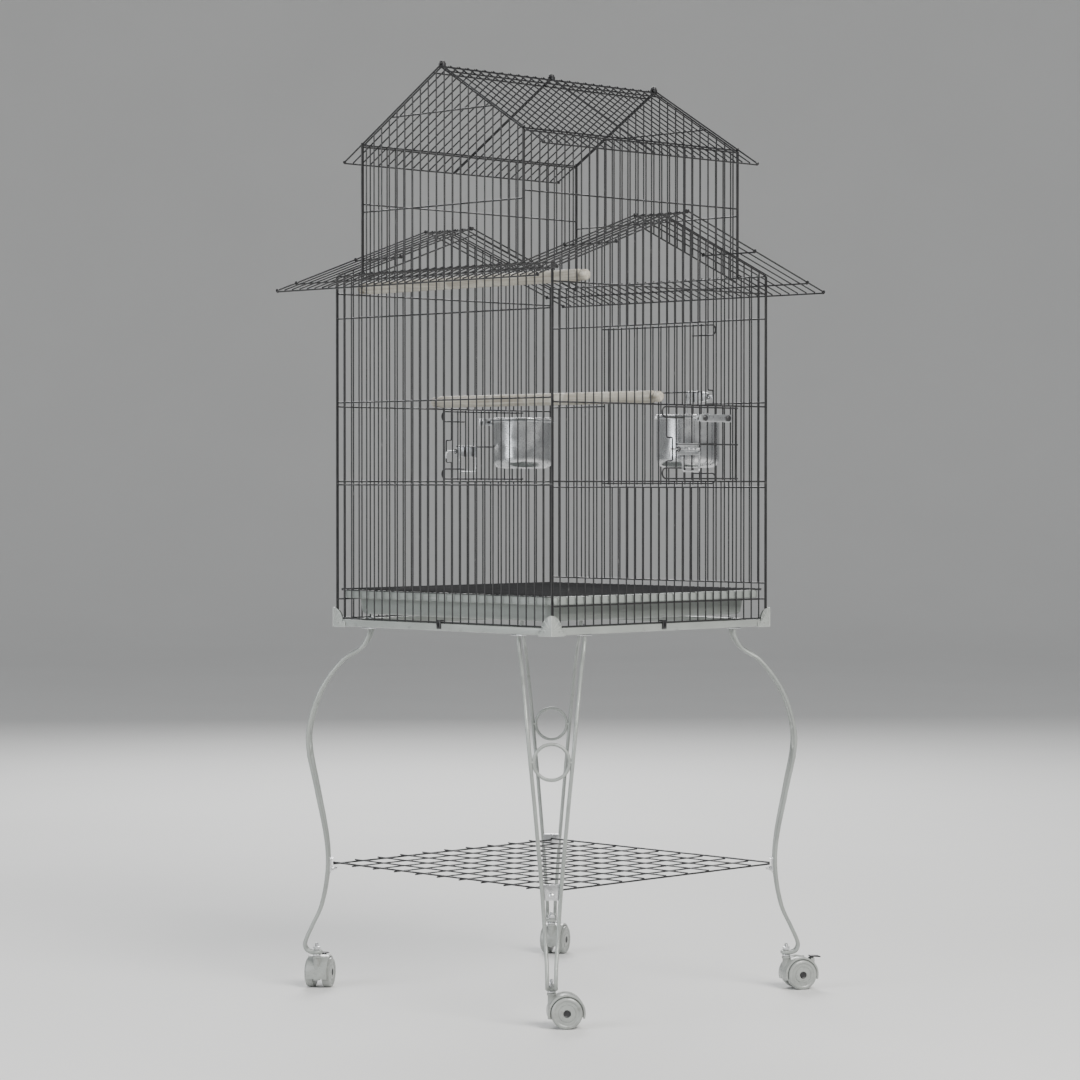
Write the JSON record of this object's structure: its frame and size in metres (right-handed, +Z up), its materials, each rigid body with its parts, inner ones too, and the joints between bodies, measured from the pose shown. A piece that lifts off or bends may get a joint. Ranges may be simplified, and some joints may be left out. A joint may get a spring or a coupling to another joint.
{
  "type": "bird cage on stand",
  "caption": "House-shaped wire bird cage with stepped gable roofs, swing-out feeder doors, slide-out tray and perches on a bent-rod rolling stand with a wire shelf.",
  "frame": {"origin": "on the floor under the cage's centre, where the casters stand", "axes": "+Z up, -Y the front with the main door and the tray slot, +X the left-hand feeder door as seen from behind the cage"},
  "size_m": [0.5489, 0.575, 1.2954],
  "materials": {
    "wire_black": "black powder-coated wire, satin",
    "frame_grey": "pale grey hammered powder coat",
    "tray_plastic": "grey moulded plastic with fine grain",
    "clip_black": "black moulded nylon",
    "cup_steel": "spun stainless steel, polished",
    "perch_wood": "plain turned dowel, unvarnished",
    "caster_plastic": "pale grey nylon, semi-gloss",
    "hardware_zinc": "bright zinc-plated steel"
  },
  "bodies": {
    "cage": {"base_frame": "frame_grey", "corner_bracket_back_left": "frame_grey", "corner_bracket_back_right": "frame_grey", "corner_bracket_front_right": "frame_grey", "corner_bracket_front_left": "frame_grey", "leg_back_left": "frame_grey", "leg_back_right": "frame_grey", "leg_front_right": "frame_grey", "leg_front_left": "frame_grey", "front_panel": "wire_black", "back_panel": "wire_black", "left_panel": "wire_black", "right_panel": "wire_black", "upper_left_panel": "wire_black", "upper_right_panel": "wire_black", "lower_roof_front": "wire_black", "lower_roof_back": "wire_black", "top_roof_left_front": "wire_black", "top_roof_left_back": "wire_black", "top_roof_right_front": "wire_black", "top_roof_right_back": "wire_black", "shelf": "wire_black", "base_clip_back": "clip_black", "base_clip_left": "clip_black", "base_clip_right": "clip_black", "ridge_clip_front": "clip_black", "ridge_clip_middle": "clip_black", "ridge_clip_back": "clip_black", "shelf_bracket_back_left": "hardware_zinc", "shelf_bracket_back_right": "hardware_zinc", "shelf_bracket_front_right": "hardware_zinc", "shelf_bracket_front_left": "hardware_zinc", "caster_stem_back_left": "hardware_zinc", "caster_stem_back_right": "hardware_zinc", "caster_stem_front_right": "hardware_zinc", "caster_stem_front_left": "hardware_zinc", "perch_lower": "perch_wood", "perch_upper": "perch_wood"},
    "tray": {"tray": "tray_plastic"},
    "floor_grate": {"floor_grate": "wire_black"},
    "main_door": {"main_door": "wire_black"},
    "main_door_latch": {"main_door_latch": "hardware_zinc"},
    "feeder_door_left": {"feeder_door_left": "wire_black", "cup_holder_left": "hardware_zinc"},
    "feeder_door_left_latch": {"feeder_door_left_latch": "hardware_zinc"},
    "cup_left": {"cup_left": "cup_steel"},
    "feeder_door_right": {"feeder_door_right": "wire_black", "cup_holder_right": "hardware_zinc"},
    "feeder_door_right_latch": {"feeder_door_right_latch": "hardware_zinc"},
    "cup_right": {"cup_right": "cup_steel"},
    "caster_back_left": {"caster_hood_back_left": "caster_plastic"},
    "wheels_back_left": {"caster_wheels_back_left": "caster_plastic"},
    "brake_back_left": {"brake_lever_back_left": "clip_black"},
    "caster_back_right": {"caster_hood_back_right": "caster_plastic"},
    "wheels_back_right": {"caster_wheels_back_right": "caster_plastic"},
    "caster_front_right": {"caster_hood_front_right": "caster_plastic"},
    "wheels_front_right": {"caster_wheels_front_right": "caster_plastic"},
    "brake_front_right": {"brake_lever_front_right": "clip_black"},
    "caster_front_left": {"caster_hood_front_left": "caster_plastic"},
    "wheels_front_left": {"caster_wheels_front_left": "caster_plastic"}
  },
  "joints": [
    {"name": "tray_slide", "type": "slide", "parent": "cage", "child": "tray", "axis": [0, -1, 0], "range_m": [0, 0.43]},
    {"name": "grate_lift", "type": "slide", "parent": "tray", "child": "floor_grate", "axis": [0, 0, 1], "range_m": [0, 0.05]},
    {"name": "main_door_hinge", "type": "hinge", "parent": "cage", "child": "main_door", "pos_m": [0.10352, -0.215, 0.831], "axis": [0, 0, 1], "range_deg": [0, 150]},
    {"name": "main_door_latch_slide", "type": "slide", "parent": "main_door", "child": "main_door_latch", "axis": [1, 0, 0], "range_m": [0, 0.008], "stiffness_N_per_m": 120},
    {"name": "feeder_left_hinge", "type": "hinge", "parent": "cage", "child": "feeder_door_left", "pos_m": [0.215, -0.1513, 0.772], "axis": [0, 0, -1], "range_deg": [0, 110]},
    {"name": "feeder_left_latch_slide", "type": "slide", "parent": "feeder_door_left", "child": "feeder_door_left_latch", "axis": [0, -1, 0], "range_m": [0, 0.008], "stiffness_N_per_m": 120},
    {"name": "feeder_right_hinge", "type": "hinge", "parent": "cage", "child": "feeder_door_right", "pos_m": [-0.215, -0.1513, 0.772], "axis": [0, 0, 1], "range_deg": [0, 110]},
    {"name": "feeder_right_latch_slide", "type": "slide", "parent": "feeder_door_right", "child": "feeder_door_right_latch", "axis": [0, -1, 0], "range_m": [0, 0.008], "stiffness_N_per_m": 120},
    {"name": "cup_left_lift", "type": "slide", "parent": "feeder_door_left", "child": "cup_left", "axis": [0, 0, 1], "range_m": [0, 0.09]},
    {"name": "cup_right_lift", "type": "slide", "parent": "feeder_door_right", "child": "cup_right", "axis": [0, 0, 1], "range_m": [0, 0.09]},
    {"name": "caster_back_left_swivel", "type": "hinge", "parent": "cage", "child": "caster_back_left", "pos_m": [0.23547, 0.23547, 0.04], "axis": [0, 0, 1], "continuous": true},
    {"name": "wheels_back_left_spin", "type": "hinge", "parent": "caster_back_left", "child": "wheels_back_left", "pos_m": [0.24636, 0.2199, 0.021], "axis": [0.8192, 0.5736, 0], "continuous": true},
    {"name": "brake_back_left_press", "type": "hinge", "parent": "caster_back_left", "child": "brake_back_left", "pos_m": [0.25755, 0.20393, 0.0415], "axis": [0.8192, 0.5736, 0], "range_deg": [0, 12]},
    {"name": "caster_back_right_swivel", "type": "hinge", "parent": "cage", "child": "caster_back_right", "pos_m": [-0.23547, 0.23547, 0.04], "axis": [0, 0, 1], "continuous": true},
    {"name": "wheels_back_right_spin", "type": "hinge", "parent": "caster_back_right", "child": "wheels_back_right", "pos_m": [-0.24768, 0.22091, 0.021], "axis": [0.766, -0.6428, 0], "continuous": true},
    {"name": "caster_front_right_swivel", "type": "hinge", "parent": "cage", "child": "caster_front_right", "pos_m": [-0.23547, -0.23547, 0.04], "axis": [0, 0, 1], "continuous": true},
    {"name": "wheels_front_right_spin", "type": "hinge", "parent": "caster_front_right", "child": "wheels_front_right", "pos_m": [-0.24439, -0.25224, 0.021], "axis": [0.8829, -0.4695, 0], "continuous": true},
    {"name": "brake_front_right_press", "type": "hinge", "parent": "caster_front_right", "child": "brake_front_right", "pos_m": [-0.25354, -0.26946, 0.0415], "axis": [0.8829, -0.4695, 0], "range_deg": [0, 12]},
    {"name": "caster_front_left_swivel", "type": "hinge", "parent": "cage", "child": "caster_front_left", "pos_m": [0.23547, -0.23547, 0.04], "axis": [0, 0, 1], "continuous": true},
    {"name": "wheels_front_left_spin", "type": "hinge", "parent": "caster_front_left", "child": "wheels_front_left", "pos_m": [0.24409, -0.2524, 0.021], "axis": [0.891, 0.454, 0], "continuous": true}
  ]
}
